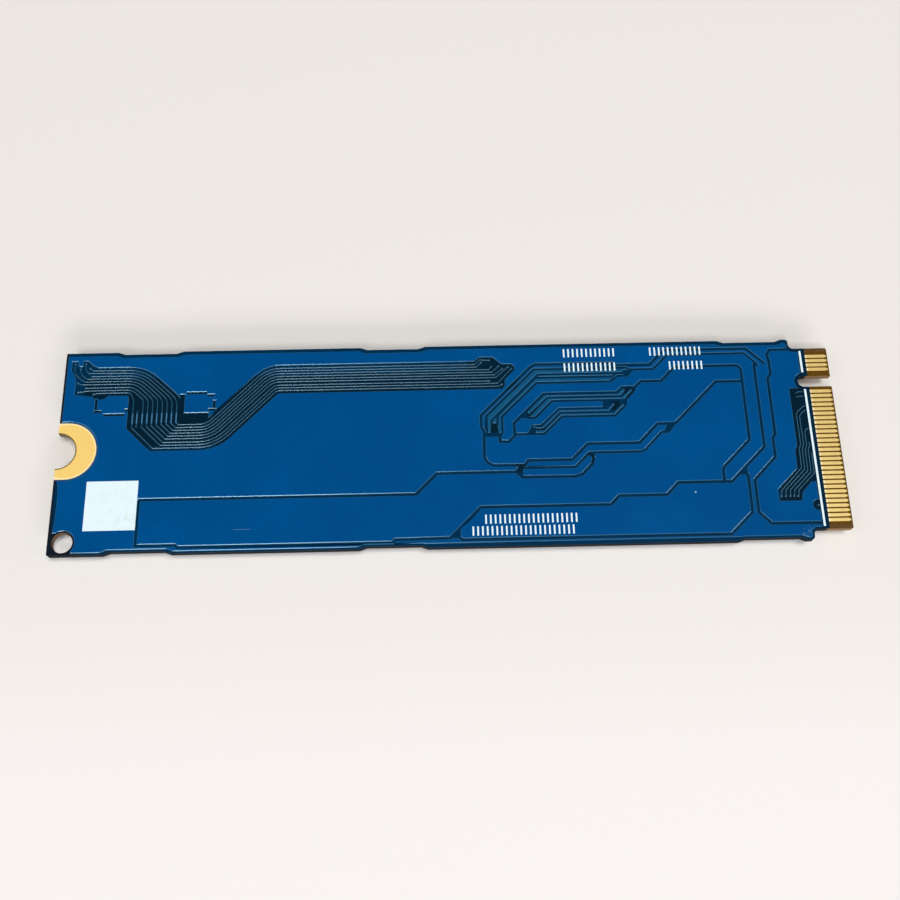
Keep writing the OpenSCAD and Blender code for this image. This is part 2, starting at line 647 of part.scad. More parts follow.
module screw_hole_plating() {
    color(gold_colour) translate([0, 0, under_z - foil_t]) linear_extrude(board_t)
        intersection() {
            translate([0, mid_y]) difference() {
                circle(r = screw_r + plating_t);
                circle(r = screw_r);
            }
            square([board_l, board_w]);
        }
}

// White legend of the bare side
module marking_square() {
    color(ink_colour) translate([0, 0, bare_z + copper_top]) linear_extrude(ink_t)
        translate(at(square_share)) square(square_w, center = true);
}
module contact_border() {
    low = pin_y(1) - border_past;
    high = pin_y(pin_count) + border_past;
    below_key = key_y - key_w / 2 - border_w * 5 / 4;
    above_key = key_y + key_w / 2 + border_w * 2;
    color(ink_colour) translate([board_l - border_setback, 0, bare_z + film_t])
        linear_extrude(ink_t) {
            translate([0, low]) square([border_w, below_key - low]);
            translate([0, above_key]) square([border_w, high - above_key]);
        }
}
module tally_marks() {
    color(ink_colour) translate([0, 0, bare_z + copper_top]) linear_extrude(ink_t)
        for (row = [0 : len(tally_counts) - 1]) translate(at(tally_row_shares[row]))
            for (i = [0 : tally_counts[row] - 1]) translate([i * tally_pitch, 0])
                square([tally_w, tally_h], center = true);
}

// Component side. A part stands on its lands and grows towards the ground.
module below(depth) {
    translate([0, 0, under_z - depth]) mirror([0, 0, 1]) children();
}
module put(s, turn) {
    translate(at(s)) rotate(turn) children();
}
module put_all(shares, turn) {
    for (s = shares) put(s, turn) children();
}
// Lands and ends of a two-ended chip part, which lies along X
module chip_lands(size, grow) {
    end = size[0] * chip_end_share + land_toe;
    for (side = [-1, 1]) translate([side * (size[0] / 2 + land_toe - end / 2), 0])
        square([end + 2 * grow, size[1] + 2 * grow], center = true);
}
module chip_body(size) {
    length = size[0] * (1 - 2 * chip_end_share);
    translate([-length / 2, -size[1] / 2, 0]) cube([length, size[1], size[2]]);
}
module chip_ends(size) {
    end = size[0] * chip_end_share;
    for (side = [0, 1]) mirror([side, 0, 0])
        translate([size[0] / 2 - end, -size[1] / 2, 0]) cube([end, size[1], size[2]]);
}
// Rows of leads along two or four sides of a leadless package, round its middle pad
module lead_rows(size, count, sides, toe, grow) {
    for (k = [0 : sides - 1]) rotate(k * 360 / sides) for (i = [0 : count - 1])
        translate([(size[0] - lead_l + toe) / 2, (i - (count - 1) / 2) * power_pitch])
            square([lead_l + toe + 2 * grow, lead_w + 2 * grow], center = true);
    square([size[0] - 4 * lead_l + 2 * grow, size[1] - sides * lead_l + 2 * grow],
           center = true);
}
module inductor_feet(toe, grow) {
    foot = inductor_l / 4;
    for (side = [-1, 1]) translate([side * (inductor_l - foot + toe) / 2, 0])
        square([foot + toe + 2 * grow, inductor_w + 2 * grow], center = true);
}
module crystal_feet(toe, grow) {
    foot_l = crystal_size[0] / 3;
    foot_w = crystal_size[1] / 3;
    for (x = [-1, 1], y = [-1, 1])
        translate([x * (crystal_size[0] - foot_l + toe) / 2,
                   y * (crystal_size[1] - foot_w + toe) / 2])
            square([foot_l + toe + 2 * grow, foot_w + toe + 2 * grow], center = true);
}
module all_lands(toe, grow) {
    put_all(bulk_shares, 90) chip_lands(bulk_size, grow);
    put_all(bulk_flat_shares, 0) chip_lands(bulk_size, grow);
    put_all(small_shares, 90) chip_lands(small_size, grow);
    put_all(small_flat_shares, 0) chip_lands(small_size, grow);
    put_all(coupling_shares, 0) chip_lands(coupling_size, grow);
    put_all(resistor_shares, 90) chip_lands(resistor_size, grow);
    put_all(inductor_shares, 0) inductor_feet(toe, grow);
    put(fuse_share, 0) chip_lands(fuse_size, grow);
    put(power_share, 0) lead_rows(power_size, power_leads, 4, toe, grow);
    put(switch_share, 0) lead_rows(switch_size, switch_leads, 2, toe, grow);
    put(boot_share, 0) lead_rows(boot_size, boot_leads, 2, toe, grow);
    put(crystal_share, 0) crystal_feet(toe, grow);
}
module component_side_mask() {
    color(copper_colour) below(0) linear_extrude(under_mask_t) difference() {
        mask_area();
        all_lands(land_toe, mask_gap);
        for (s = test_shares) translate(at(s)) circle(r = test_r + mask_gap);
    }
}
module component_lands() {
    color(tin_colour) below(0) linear_extrude(foil_t) all_lands(land_toe, 0);
}
module test_points() {
    color(gold_colour) below(0) linear_extrude(foil_t)
        for (s = test_shares) translate(at(s)) circle(r = test_r);
}
module printed_frame(l, w) {
    clear = land_toe + 2 * mask_gap;
    difference() {
        square([l + 2 * (clear + outline_w), w + 2 * (clear + outline_w)], center = true);
        square([l + 2 * clear, w + 2 * clear], center = true);
    }
    translate([-l / 2, w / 2 + clear + outline_w + pin_mark_r * 3 / 2]) circle(r = pin_mark_r);
}
module component_legend() {
    color(ink_colour) below(under_mask_t) linear_extrude(ink_t) difference() {
        union() {
            put(flash_1_share, 0) printed_frame(flash_l, flash_w);
            put(flash_2_share, 0) printed_frame(flash_l, flash_w);
            put(controller_share, 0) printed_frame(controller_w, controller_w);
            put(power_share, 0) printed_frame(power_w, power_w);
            put(boot_share, 0) printed_frame(boot_size[0], boot_size[1]);
        }
        // The ink stops where a land needs its opening
        all_lands(land_toe, mask_gap);
    }
}

// Packages on solder balls
module slab(l, w, h) {
    translate([-l / 2, -w / 2, 0]) cube([l, w, h]);
}
module marked_slab(l, w, h) {
    difference() {
        slab(l, w, h);
        translate([-l / 2 + 3 * pin_mark_r, w / 2 - 3 * pin_mark_r, h - pin_mark_depth])
            cylinder(h = over, r = pin_mark_r);
    }
}
module ball_grid(cols, rows, pitch) {
    for (i = [0 : cols - 1], j = [0 : rows - 1])
        translate([(i - (cols - 1) / 2) * pitch, (j - (rows - 1) / 2) * pitch, 0])
            cylinder(h = ball_h, r = ball_r);
}
module flash_balls() {
    field = (flash_cols - 1) * flash_pitch + flash_field_gap;
    for (side = [-1, 1]) translate([side * field / 2, 0, 0])
        ball_grid(flash_cols, flash_rows, flash_pitch);
}
module flash_1_balls() {
    color(tin_colour) below(under_mask_t) put(flash_1_share, 0) flash_balls();
}
module flash_1_substrate() {
    color(substrate_colour) below(under_mask_t + ball_h) put(flash_1_share, 0)
        slab(flash_l, flash_w, substrate_t);
}
module flash_1_moulding() {
    color(moulding_colour) below(mould_depth) put(flash_1_share, 0)
        marked_slab(flash_l, flash_w, component_h - mould_depth);
}
module flash_2_balls() {
    color(tin_colour) below(under_mask_t) put(flash_2_share, 0) flash_balls();
}
module flash_2_substrate() {
    color(substrate_colour) below(under_mask_t + ball_h) put(flash_2_share, 0)
        slab(flash_l, flash_w, substrate_t);
}
module flash_2_moulding() {
    color(moulding_colour) below(mould_depth) put(flash_2_share, 0)
        marked_slab(flash_l, flash_w, component_h - mould_depth);
}
module controller_balls() {
    color(tin_colour) below(under_mask_t) put(controller_share, 0)
        ball_grid(controller_rows, controller_rows, controller_pitch);
}
module controller_substrate() {
    color(substrate_colour) below(under_mask_t + ball_h) put(controller_share, 0)
        slab(controller_w, controller_w, substrate_t);
}
module controller_moulding() {
    color(moulding_colour) below(mould_depth) put(controller_share, 0)
        marked_slab(controller_w, controller_w, controller_h);
}

// Leadless packages, each on its row of leads
module power_circuit_leads() {
    color(tin_colour) below(foil_t) put(power_share, 0) linear_extrude(lead_h)
        lead_rows(power_size, power_leads, 4, 0, 0);
}
module power_circuit_body() {
    color(moulding_colour) below(foil_t + lead_h) put(power_share, 0)
        marked_slab(power_w, power_w, power_h);
}
module load_switch_leads() {
    color(tin_colour) below(foil_t) put(switch_share, 0) linear_extrude(lead_h)
        lead_rows(switch_size, switch_leads, 2, 0, 0);
}
module load_switch_body() {
    color(moulding_colour) below(foil_t + lead_h) put(switch_share, 0)
        slab(switch_w, switch_w, switch_h);
}
module boot_memory_leads() {
    color(tin_colour) below(foil_t) put(boot_share, 0) linear_extrude(lead_h)
        lead_rows(boot_size, boot_leads, 2, 0, 0);
}
module boot_memory_body() {
    color(moulding_colour) below(foil_t + lead_h) put(boot_share, 0)
        slab(boot_size[0], boot_size[1], boot_size[2]);
}
module crystal_pads() {
    color(tin_colour) below(foil_t) put(crystal_share, 0) linear_extrude(lead_h)
        crystal_feet(0, 0);
}
module crystal_base() {
    color(ceramic_colour) below(foil_t + lead_h) put(crystal_share, 0)
        slab(crystal_size[0], crystal_size[1], crystal_size[2]);
}
module crystal_lid() {
    color(tin_colour) below(foil_t + lead_h + crystal_size[2]) put(crystal_share, 0)
        slab(crystal_size[0] - 2 * lid_margin, crystal_size[1] - 2 * lid_margin, lid_t);
}

// Moulded inductors: a core between two terminals that fold in under it
module inductor_cores() {
    color(core_colour) below(foil_t + inductor_end_t) put_all(inductor_shares, 0)
        slab(inductor_l - 2 * inductor_end_t, inductor_w, inductor_h);
}
module inductor_terminals() {
    color(tin_colour) below(foil_t) put_all(inductor_shares, 0) {
        linear_extrude(inductor_end_t) inductor_feet(0, 0);
        for (side = [0, 1]) mirror([side, 0, 0])
            translate([inductor_l / 2 - inductor_end_t, -inductor_w / 2, 0])
                cube([inductor_end_t, inductor_w, inductor_end_t + inductor_h / 2]);
    }
}

// Two-ended chip parts
module fuse_body() {
    color(ceramic_colour) below(foil_t) put(fuse_share, 0) chip_body(fuse_size);
}
module fuse_ends() {
    color(tin_colour) below(foil_t) put(fuse_share, 0) chip_ends(fuse_size);
}
module bulk_capacitor_bodies() {
    color(ceramic_colour) below(foil_t) {
        put_all(bulk_shares, 90) chip_body(bulk_size);
        put_all(bulk_flat_shares, 0) chip_body(bulk_size);
    }
}
module bulk_capacitor_ends() {
    color(tin_colour) below(foil_t) {
        put_all(bulk_shares, 90) chip_ends(bulk_size);
        put_all(bulk_flat_shares, 0) chip_ends(bulk_size);
    }
}
module small_capacitor_bodies() {
    color(ceramic_colour) below(foil_t) {
        put_all(small_shares, 90) chip_body(small_size);
        put_all(small_flat_shares, 0) chip_body(small_size);
    }
}
module small_capacitor_ends() {
    color(tin_colour) below(foil_t) {
        put_all(small_shares, 90) chip_ends(small_size);
        put_all(small_flat_shares, 0) chip_ends(small_size);
    }
}
module coupling_capacitor_bodies() {
    color(ceramic_colour) below(foil_t) put_all(coupling_shares, 0) chip_body(coupling_size);
}
module coupling_capacitor_ends() {
    color(tin_colour) below(foil_t) put_all(coupling_shares, 0) chip_ends(coupling_size);
}
module resistor_bodies() {
    color(core_colour) below(foil_t) put_all(resistor_shares, 90) chip_body(resistor_size);
}
module resistor_ends() {
    color(tin_colour) below(foil_t) put_all(resistor_shares, 90) chip_ends(resistor_size);
}

// The card's middle stands over the origin
module centred() {
    translate([-board_l / 2, -board_w / 2, 0]) children();
}

centred() laminate();
centred() bare_side_mask();
centred() bare_side_copper();
centred() bus_lines();
centred() fan_out_lines();
centred() even_contacts();
centred() odd_contacts();
centred() screw_land_upper();
centred() screw_land_lower();
centred() screw_hole_plating();
centred() marking_square();
centred() contact_border();
centred() tally_marks();
centred() component_side_mask();
centred() component_lands();
centred() test_points();
centred() component_legend();
centred() flash_1_substrate();
centred() flash_1_moulding();
centred() flash_1_balls();
centred() flash_2_substrate();
centred() flash_2_moulding();
centred() flash_2_balls();
centred() controller_substrate();
centred() controller_moulding();
centred() controller_balls();
centred() power_circuit_body();
centred() power_circuit_leads();
centred() inductor_cores();
centred() inductor_terminals();
centred() load_switch_body();
centred() load_switch_leads();
centred() boot_memory_body();
centred() boot_memory_leads();
centred() crystal_base();
centred() crystal_lid();
centred() crystal_pads();
centred() fuse_body();
centred() fuse_ends();
centred() bulk_capacitor_bodies();
centred() bulk_capacitor_ends();
centred() small_capacitor_bodies();
centred() small_capacitor_ends();
centred() coupling_capacitor_bodies();
centred() coupling_capacitor_ends();
centred() resistor_bodies();
centred() resistor_ends();
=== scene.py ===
import json
import math

import bpy
from mathutils import Matrix, Vector


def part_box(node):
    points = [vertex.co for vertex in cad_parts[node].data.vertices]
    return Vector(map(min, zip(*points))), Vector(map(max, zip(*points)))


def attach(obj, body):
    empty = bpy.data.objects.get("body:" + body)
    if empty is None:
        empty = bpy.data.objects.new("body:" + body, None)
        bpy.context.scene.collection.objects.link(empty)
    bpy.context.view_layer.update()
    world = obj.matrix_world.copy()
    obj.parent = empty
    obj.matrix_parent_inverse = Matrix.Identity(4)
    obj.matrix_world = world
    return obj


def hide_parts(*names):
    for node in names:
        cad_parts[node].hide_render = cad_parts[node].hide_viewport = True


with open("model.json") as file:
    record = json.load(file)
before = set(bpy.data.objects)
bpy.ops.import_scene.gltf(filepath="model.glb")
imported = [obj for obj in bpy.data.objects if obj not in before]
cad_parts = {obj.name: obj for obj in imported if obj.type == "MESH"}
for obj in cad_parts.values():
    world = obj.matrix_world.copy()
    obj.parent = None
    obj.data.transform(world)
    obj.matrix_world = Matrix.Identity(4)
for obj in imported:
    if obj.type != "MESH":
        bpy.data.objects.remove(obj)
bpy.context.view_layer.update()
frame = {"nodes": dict(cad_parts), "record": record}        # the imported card, in metres, component side down
nodes = frame["nodes"]
mm = 0.001
print("frame loaded:", len(nodes), "nodes")


def srgb(red, green, blue):      # screen colour, 0 to 255, as Blender's linear colour
    def linear(c):
        c = c / 255
        return c / 12.92 if c <= 0.04045 else ((c + 0.055) / 1.055) ** 2.4
    return (linear(red), linear(green), linear(blue))


# Camera: the photograph's place

camera = {
    "place": (-1.236 * mm, -42.220 * mm, 110.601 * mm),
    "aim": (0.013 * mm, -0.739 * mm, 2.23 * mm),
    "roll": 0.4186,      # degrees
    "lens": 45.56,
    "sensor": 36,
    "nearest": 5 * mm,
}

bpy.ops.object.camera_add(location=camera["place"])
cameraObject = bpy.context.object
cameraObject.name = "camera"
sight = (Vector(camera["aim"]) - Vector(camera["place"])).to_track_quat("-Z", "Y")
rolled = sight.to_matrix() @ Matrix.Rotation(math.radians(camera["roll"]), 3, "Z")
cameraObject.rotation_euler = rolled.to_euler()
cameraObject.data.lens = camera["lens"]
cameraObject.data.sensor_width = camera["sensor"]
cameraObject.data.clip_start = camera["nearest"]
bpy.context.scene.camera = cameraObject
bpy.context.scene.view_settings.view_transform = "Standard"


# Shader writing: sockets take part in sums, and node() makes any other node

class Wire:
    def __init__(self, shader, socket):
        self.shader = shader
        self.socket = socket

    def maths(self, operation, *values):
        inputs = dict(enumerate(values))
        return self.shader.node("ShaderNodeMath", {"operation": operation}, inputs)

    def __add__(self, other):
        return self.maths("ADD", self, other)

    def __radd__(self, other):
        return self.maths("ADD", other, self)

    def __sub__(self, other):
        return self.maths("SUBTRACT", self, other)

    def __rsub__(self, other):
        return self.maths("SUBTRACT", other, self)

    def __mul__(self, other):
        return self.maths("MULTIPLY", self, other)

    def __pow__(self, other):
        return self.maths("POWER", self, other)

    def __abs__(self):
        return self.maths("ABSOLUTE", self)

    def most(self, other):
        return self.maths("MAXIMUM", self, other)


cardCorner = (40, 11, 0)     # places are millimetres from the card's corner by the small hole


class Shader:
    def __init__(self, name, **settings):
        self.material = bpy.data.materials.new(name)
        self.material.use_nodes = True
        self.tree = self.material.node_tree
        self.surface = self.tree.nodes["Principled BSDF"]
        self.set(**settings)
        where = self.node("ShaderNodeTexCoord", out="Object")
        self.place = self.node("ShaderNodeMapping", {}, {
            "Vector": where, "Scale": (1 / mm,) * 3, "Location": cardCorner})
        self.x, self.y, self.z = self.split(self.place)

    def node(self, kind, settings=None, inputs=None, out=0):
        made = self.tree.nodes.new(kind)
        for key, value in (settings or {}).items():
            setattr(made, key, value)
        for key, value in (inputs or {}).items():
            self.join(made.inputs[key], value)
        return Wire(self, made.outputs[out])

    def join(self, socket, value):
        if isinstance(value, Wire):
            self.tree.links.new(value.socket, socket)
        elif socket.type == "RGBA":
            socket.default_value = (*value, 1)
        else:
            socket.default_value = value

    def set(self, **values):         # base_color= sets Base Color, and so on
        names = {s.name.lower().replace(" ", "_"): s for s in self.surface.inputs}
        for key, value in values.items():
            self.join(names[key], value)

    def split(self, vector):
        made = self.tree.nodes.new("ShaderNodeSeparateXYZ")
        self.tree.links.new(vector.socket, made.inputs[0])
        return [Wire(self, made.outputs[i]) for i in range(3)]

    def mix(self, share, first, second):
        inputs = {0: share, 6: first, 7: second}
        return self.node("ShaderNodeMix", {"data_type": "RGBA"}, inputs, out=2)

    def facing(self):        # how far the true surface faces up, 0 on a wall
        return abs(self.split(self.node("ShaderNodeNewGeometry", out="True Normal"))[2])

    def step(self, value, low, high):       # 0 below low, 1 above high
        return self.node("ShaderNodeMapRange", {"interpolation_type": "SMOOTHSTEP"},
                         {0: value, 1: low, 2: high, 3: 0.0, 4: 1.0})

    def near(self, centre, radii):      # 1 inside the first radius, 0 past the second
        away = ((self.x - centre[0]) ** 2 + (self.y - centre[1]) ** 2) ** 0.5
        return 1.0 - self.step(away, *radii)

    def within(self, value, span, soft):      # 1 between the two ends of a span
        low, high = span
        above = self.step(value, low - soft, low + soft)
        return above * (1.0 - self.step(value, high - soft, high + soft))

    def zone(self, spanX, spanY, softX=0.1, softY=0.1):      # 1 in a rectangle of the card
        return self.within(self.x, spanX, softX) * self.within(self.y, spanY, softY)

    def noise(self, size, detail=2.0, place=None):      # size of a patch in millimetres
        return self.node("ShaderNodeTexNoise", {}, {
            "Vector": place or self.place, "Scale": 1 / size, "Detail": detail})

    def specks(self, size, share):       # 1 inside a share of small round cells
        near = self.node("ShaderNodeTexVoronoi", {}, {"Vector": self.place, "Scale": 1 / size})
        return 1.0 - self.step(near, share * 0.7, share)

    def stretched(self, along, across, up=1.0):
        return self.node("ShaderNodeMapping", {}, {
            "Vector": self.place, "Scale": (1 / along, 1 / across, 1 / up)})

    def bump(self, height, depth):           # depth in millimetres for a height of 1
        self.set(normal=self.node("ShaderNodeBump", {}, {
            "Strength": 1.0, "Distance": depth * mm, "Height": height}))


# Finishes: sizes and places in millimetres, tints as the screen shows them

screwEnd = {
    "hole": (0.0, 11.0),
    "holeShadeRim": (1.97, 2.07),
    "land": (0.95, 11.0),
    "landRim": (2.84, 2.98),
    "apron": (3.26, 3.4),        # as far as this from the land's centre the mask stays blue
    "corner": (1.45, 1.3),
    "cornerWall": (1.15, 1.3),
    "cornerBare": (1.5, 2.5),
}

maskTint = {
    "copper": srgb(0, 73, 131),
    "copperDeep": srgb(0, 69, 125),
    "copperPale": srgb(0, 77, 136),
    "mark": srgb(150, 190, 206),
    # rim and foot tint the slopes: the rim is lighter where the mask over the copper's edge is thin, the dark
    # foot is painted shade down in the gap
    "rim": srgb(40, 98, 132),
    "foot": srgb(0, 46, 80),
    "trace": srgb(8, 78, 118),
    "tracePale": srgb(20, 84, 122),
    "line": srgb(40, 92, 112),
    # the lines' foot tint is painted shade along their sides
    "lineFootShade": srgb(0, 52, 76),
    "linePale": srgb(70, 130, 172),
    "film": srgb(0, 50, 86),
    "filmDeep": srgb(0, 38, 62),
    "void": srgb(4, 27, 40),
    "bare": srgb(24, 22, 18),
}

wear = {
    "speck": (64.6, 5.2),
    "speckSize": (0.05, 0.12),
    "scratchX": (18.3, 20.0),
    "scratchY": (2.3, 2.38),
    "scratchWander": 0.1,
    "rubbed": (75.4, 0.7),
    "rubbedSize": (0.2, 0.9),
    "dust": 2.2,
    "dustShare": 0.02,
    "dustPatch": 3.0,
}


def maskOverCopper(name, plain, pale):
    s = Shader(name, specular_ior_level=0.07)
    clouds = s.step(s.noise(7.0, 3.0), 0.4, 0.68)
    fine = s.step(s.noise(0.5, 3.0), 0.5, 0.75)
    tint = s.mix(clouds, plain, pale)
    tint = s.mix(fine * 0.4, tint, maskTint["copperDeep"])
    dustPatch = s.step(s.noise(wear["dustPatch"], 2.0), 0.5, 0.6)
    dust = s.specks(wear["dust"], wear["dustShare"]) * dustPatch
    wander = s.noise(0.8, 2.0) * wear["scratchWander"]
    scratch = s.within(s.x, wear["scratchX"], 0.15)
    scratch = scratch * s.within(s.y + wander, wear["scratchY"], 0.03)
    rubbed = s.near(wear["rubbed"], wear["rubbedSize"]) * s.step(s.noise(0.25, 2.0), 0.48, 0.62)
    speck = s.near(wear["speck"], wear["speckSize"])
    marks = speck.most(scratch * 0.14).most(rubbed * 0.16).most(dust * 0.12)
    s.set(base_color=s.mix(marks, tint, maskTint["mark"]),
          roughness=0.16 + s.noise(1.5, 2.0) * 0.08 + marks * 0.3)
    s.bump(s.noise(0.3, 2.0) + s.noise(1.4, 1.0) * 2.0, 0.0006)
    return s.material


slopeLook = {
    # the dark foot of each slope is painted shade in the gap below it
    "foot": 2.196,       # heights between which the tint turns from foot to rim
    "rim": 2.22,
    "lineFootShade": 2.2,
    "lineRim": 2.228,
    "tint": srgb(190, 232, 255),
    "lineTint": srgb(206, 236, 255),
    "paleX": (7.3, 12.4),      # the drops of the bus are paler here
    "paleY": (13.9, 15.0),
}


def maskOnSlope():
    s = Shader("maskOnSlope", specular_ior_level=1.0, specular_tint=slopeLook["tint"])
    uneven = s.z + s.noise(0.25, 2.0) * 0.008
    height = s.step(uneven, slopeLook["foot"], slopeLook["rim"])
    height = height.most(s.near(screwEnd["land"], screwEnd["apron"]))
    # dark towards the foot of each slope as painted shade in the gap, lighter at the rim where the mask over
    # the copper's edge is thin
    tint = s.mix(height, maskTint["foot"], maskTint["rim"])
    s.set(base_color=tint, roughness=0.22 + s.noise(0.8, 1.0) * 0.04)
    return s.material


def maskOverLines(name, gloss):
    s = Shader(name, specular_ior_level=gloss, specular_tint=slopeLook["lineTint"])
    height = s.step(s.z, slopeLook["lineFootShade"], slopeLook["lineRim"])
    tint = s.mix(s.noise(1.2, 2.0), maskTint["line"], maskTint["rim"])
    # each line darkens towards its foot: painted shade along its sides
    tint = s.mix(height, maskTint["lineFootShade"], tint)
    pale = s.zone(slopeLook["paleX"], slopeLook["paleY"], softY=0.12)
    s.set(base_color=s.mix(pale * 0.85, tint, maskTint["linePale"]),
          roughness=0.31 + s.noise(1.0, 1.0) * 0.04)
    return s.material


film = {
    "busX": (2.2, 42.0),
    "busY": (11.3, 19.0),
    "busEndX": (42.0, 47.2),
    "busEndY": (16.8, 20.8),
    "fanX": (73.2, 77.0),
    "fanY": (3.2, 9.5),
    "fanEndX": (74.2, 77.0),
    "fanEndY": (9.3, 16.6),
    "tongue": (76.0, 76.3),
    "edge": (0.15, 0.3),
    "spots": [(44.6, 12.6), (48.7, 14.2), (49.4, 12.5), (57.3, 14.8), (58.8, 16.3),
              (47.0, 8.3), (54.2, 9.0)],
    "spotSize": (0.4, 0.75),
}


def maskOnLaminate():       # nearly black where no copper lies deeper in the board
    s = Shader("maskOnLaminate", specular_ior_level=0.06)
    tint = s.mix(s.noise(0.9, 3.0), maskTint["film"], maskTint["filmDeep"])
    hollow = s.zone(film["busX"], film["busY"])
    hollow = hollow.most(s.zone(film["busEndX"], film["busEndY"]) * 0.9)
    hollow = hollow.most(s.zone(film["fanX"], film["fanY"]))
    hollow = hollow.most(s.zone(film["fanEndX"], film["fanEndY"]))
    hollow = hollow.most(s.step(s.x, *film["tongue"]) * 0.6)
    for spot in film["spots"]:
        hollow = hollow.most(s.near(spot, film["spotSize"]))
    tint = s.mix(hollow * 0.85, tint, maskTint["void"])
    tint = s.mix(s.near(screwEnd["land"], screwEnd["apron"]), tint, maskTint["copper"])
    thin = s.near(screwEnd["corner"], screwEnd["cornerBare"])
    thin = thin.most(1.0 - s.step(s.x, *film["edge"]))
    strands = s.noise(0.2, 2.0, s.stretched(0.6, 0.08))
    tint = s.mix(thin * (0.6 + strands * 0.4), tint, maskTint["bare"])
    s.set(base_color=tint, roughness=0.2 + s.noise(0.6, 2.0) * 0.1)
    s.bump(s.noise(0.25, 2.0) + strands * thin, 0.0015)
    return s.material


laminateTint = {
    "face": srgb(112, 82, 46),
    "faceDeep": srgb(70, 48, 24),
    # edge and glass tint the cut walls near black, far darker than the laminate's brown face: painted shade
    # along the walls, with the glass weave mixed in
    "edge": srgb(7, 11, 13),
    "glass": srgb(22, 24, 24),
    "gap": srgb(112, 78, 10),
    "gapDeep": srgb(66, 44, 6),
    "tongue": srgb(150, 120, 88),
    "tongueDeep": srgb(96, 72, 48),
    "hole": srgb(150, 116, 92),
}

laminateCut = {
    "plyScale": 1.6,
    "plyWander": 1.5,
    "tongue": (77.2, 77.5),
    "contactRow": (1.5, 20.5),
}


def cutLaminate():
    s = Shader("cutLaminate", specular_ior_level=0.08)
    plies = s.node("ShaderNodeTexWave", {"bands_direction": "Z"}, {
        "Vector": s.place, "Scale": laminateCut["plyScale"],
        "Distortion": laminateCut["plyWander"], "Detail": 2.0})
    strands = s.noise(0.12, 2.0, s.stretched(0.5, 0.5, 0.05))
    weave = plies * strands
    # The card's walls are tinted near black: painted shade along the walls, with the glass weave mixed in; the
    # tongue's walls keep a brown tint.
    side = s.mix(weave, laminateTint["edge"], laminateTint["glass"])
    tongue = s.mix(weave, laminateTint["tongue"], laminateTint["tongueDeep"])
    side = s.mix(s.step(s.x, *laminateCut["tongue"]), side, tongue)
    hole = s.mix(plies, laminateTint["hole"], laminateTint["faceDeep"])
    side = s.mix(s.near(screwEnd["corner"], screwEnd["cornerWall"]), side, hole)
    resin = s.noise(0.35, 3.0)
    face = s.mix(resin, laminateTint["face"], laminateTint["faceDeep"])
    gap = s.mix(resin, laminateTint["gap"], laminateTint["gapDeep"])
    face = s.mix(s.within(s.y, laminateCut["contactRow"], 0.1), face, gap)
    s.set(base_color=s.mix(s.step(s.facing(), 0.5, 0.8), side, face),
          roughness=0.55 + strands * 0.25)
    s.bump(strands + s.noise(0.05, 2.0) * 0.5, 0.006)
    return s.material


goldTint = {
    "bright": srgb(246, 218, 134),
    "plain": srgb(232, 198, 118),
    "deep": srgb(150, 112, 52),
    "cream": srgb(255, 240, 196),
    "land": srgb(246, 201, 98),
    "landPale": srgb(248, 219, 142),
    "mark": srgb(206, 156, 112),
    # dark tint for the painted shadow at the hole's inner edge
    "holeEdgeShade": srgb(84, 58, 30),
}

contactLook = {
    "from": (77.0, 77.2),
    "start": (77.66, 77.85),
    "worn": (78.8, 79.5),
    "shade": (2.0, 21.0),
}


def gold():
    s = Shader("gold", specular_ior_level=0.6)
    contact = s.step(s.x, *contactLook["from"])
    land = 1.0 - contact
    grain = s.noise(0.5, 3.0, s.stretched(2.0, 0.25))
    grit = s.noise(0.16, 2.0)
    pits = s.specks(0.35, 0.14) * s.step(s.noise(1.2, 2.0), 0.45, 0.7)
    tint = s.mix(grain * 0.6 + grit * 0.3, goldTint["plain"], goldTint["bright"])
    tint = s.mix(land, tint, s.mix(grit * 0.7, goldTint["land"], goldTint["landPale"]))
    rim = (1.0 - s.near(screwEnd["land"], screwEnd["landRim"])) * 0.7
    tint = s.mix(rim * land, tint, goldTint["cream"])
    # painted shadow: the gold darkens at the hole's inner edge
    tint = s.mix(s.near(screwEnd["hole"], screwEnd["holeShadeRim"]) * 0.8, tint, goldTint["holeEdgeShade"])
    tint = s.mix(s.step(s.y, *contactLook["shade"]) * contact * 0.16, tint, goldTint["deep"])
    start = contact * (1.0 - s.step(s.x, *contactLook["start"]))
    tint = s.mix(start * 0.8, tint, goldTint["cream"])
    lines = s.step(s.noise(0.2, 2.0, s.stretched(0.9, 0.05)), 0.52, 0.62)
    worn = s.within(s.x, contactLook["worn"], 0.15) * lines
    tint = s.mix(worn * 0.6, tint, goldTint["mark"])
    s.set(base_color=s.mix(pits * 0.6, tint, goldTint["deep"]),
          roughness=0.32 + grain * 0.14 + pits * 0.2 + worn * 0.1, metallic=contact * 0.2)
    s.bump(grit * 0.6 - pits * 2.0 - worn, 0.0015)
    return s.material


def goldWall():
    s = Shader("goldWall", metallic=0.4, specular_ior_level=0.5)
    rings = s.noise(0.3, 3.0, s.stretched(1.0, 1.0, 0.12))
    s.set(base_color=s.mix(rings, srgb(120, 92, 40), srgb(54, 40, 20)),
          roughness=0.35 + rings * 0.2)
    s.bump(rings, 0.008)
    return s.material


ink = {
    "plain": srgb(226, 244, 250),
    "smudged": srgb(216, 222, 217),
    "touched": srgb(206, 206, 186),
    "touch": (7.6, 3.4),
    "touchSize": (0.4, 1.6),
}


